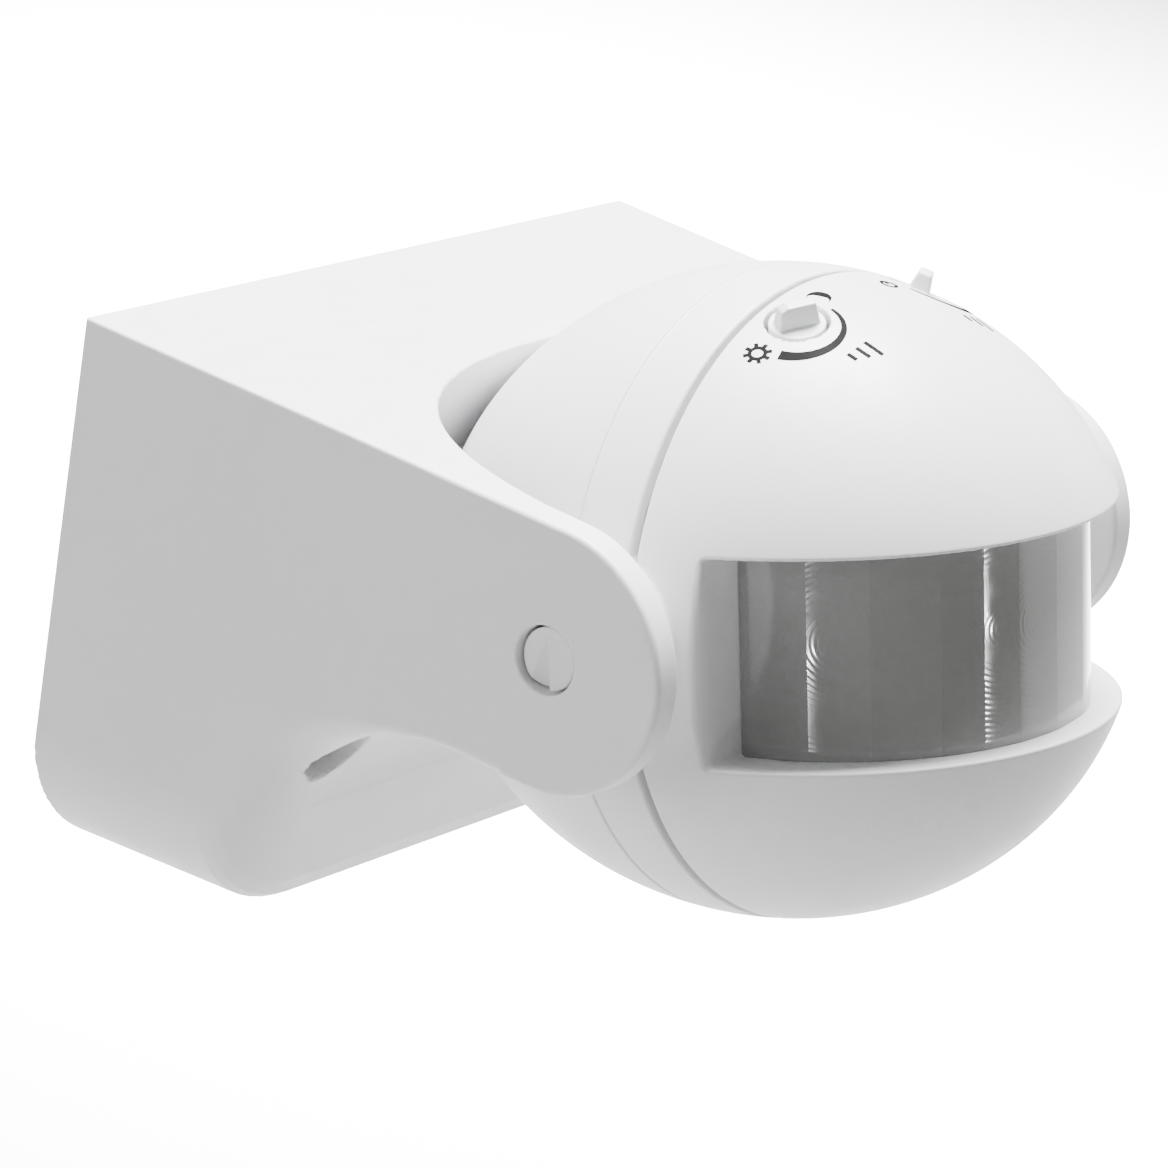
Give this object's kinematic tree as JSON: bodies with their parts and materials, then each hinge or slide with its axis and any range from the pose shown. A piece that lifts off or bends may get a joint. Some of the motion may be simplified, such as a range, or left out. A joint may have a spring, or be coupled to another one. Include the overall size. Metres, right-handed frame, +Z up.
{
  "type": "wall motion sensor",
  "caption": "Wall-mounted motion sensor: a ball head with a curved lens window and setting knobs, tilting between the fork ears of a wedge-shaped bracket.",
  "frame": {"origin": "middle of the wall plate's back face, on the plane of the wall", "axes": "+Y into the wall, -Y the way the sensor looks, +Z up, +X to the right of someone facing the sensor"},
  "size_m": [0.064, 0.0736, 0.0608],
  "materials": {
    "housing_white": "satin white moulded ABS",
    "lens_grey": "glossy smoked polyethylene lens sheet",
    "knob_white": "smooth white moulded knob",
    "seal_grey": "matt grey foam seal",
    "grommet_black": "soft black rubber",
    "frame_white": "matt off-white moulded plastic",
    "board_green": "green solder mask",
    "chip_black": "black moulded resin",
    "can_metal": "nickel-plated can",
    "filter_dark": "dark polished infrared filter",
    "lamp_red": "clear red resin",
    "cell_tan": "ceramic light cell",
    "relay_blue": "blue moulded case",
    "film_yellow": "yellow boxed film capacitor",
    "sleeve_black": "dark shrink sleeve",
    "disc_blue": "dipped blue resin",
    "trimmer_blue": "blue moulded trimmer body",
    "terminal_grey": "grey moulded terminal block",
    "screw_steel": "zinc-plated steel",
    "lead_brown": "brown insulated leads"
  },
  "bodies": {
    "bracket": {"bracket_housing": "housing_white", "wall_plate": "frame_white", "wall_seal": "seal_grey", "cable_grommet": "grommet_black", "terminal_block": "terminal_grey", "terminal_screw_1": "screw_steel", "terminal_screw_2": "screw_steel", "terminal_screw_3": "screw_steel", "cable_clamp": "frame_white", "clamp_screw_left": "screw_steel", "clamp_screw_right": "screw_steel", "housing_screw_left": "screw_steel", "housing_screw_right": "screw_steel", "supply_leads_base": "lead_brown"},
    "head": {"rear_shell": "housing_white", "front_shell": "housing_white", "head_seal": "seal_grey", "fresnel_lens": "lens_grey", "lens_frame": "frame_white", "main_board": "board_green", "control_board": "board_green", "board_connector": "chip_black", "board_screw_left": "screw_steel", "board_screw_right": "screw_steel", "infrared_can": "can_metal", "infrared_filter": "filter_dark", "control_chip": "chip_black", "status_lamp": "lamp_red", "photocell": "cell_tan", "relay": "relay_blue", "film_capacitor": "film_yellow", "electrolytic_capacitor": "sleeve_black", "varistor": "disc_blue", "light_trimmer": "trimmer_blue", "time_trimmer": "trimmer_blue", "shell_screw_left": "screw_steel", "shell_screw_right": "screw_steel", "supply_leads_head": "lead_brown"},
    "light_knob": {"light_knob": "knob_white"},
    "time_knob": {"time_knob": "knob_white"}
  },
  "joints": [
    {"name": "head_tilt", "type": "hinge", "parent": "bracket", "child": "head", "pos_m": [0, -0.0473, 0.013], "axis": [1, 0, 0], "range_deg": [-16, 74]},
    {"name": "light_knob_turn", "type": "hinge", "parent": "head", "child": "light_knob", "pos_m": [-0.0077, -0.04786, 0.03553], "axis": [-0.3182, -0.0215, 0.9478], "range_deg": [-155, 115]},
    {"name": "time_knob_turn", "type": "hinge", "parent": "head", "child": "time_knob", "pos_m": [0.0077, -0.04786, 0.03553], "axis": [0.3182, -0.0215, 0.9478], "range_deg": [-115, 155]}
  ]
}
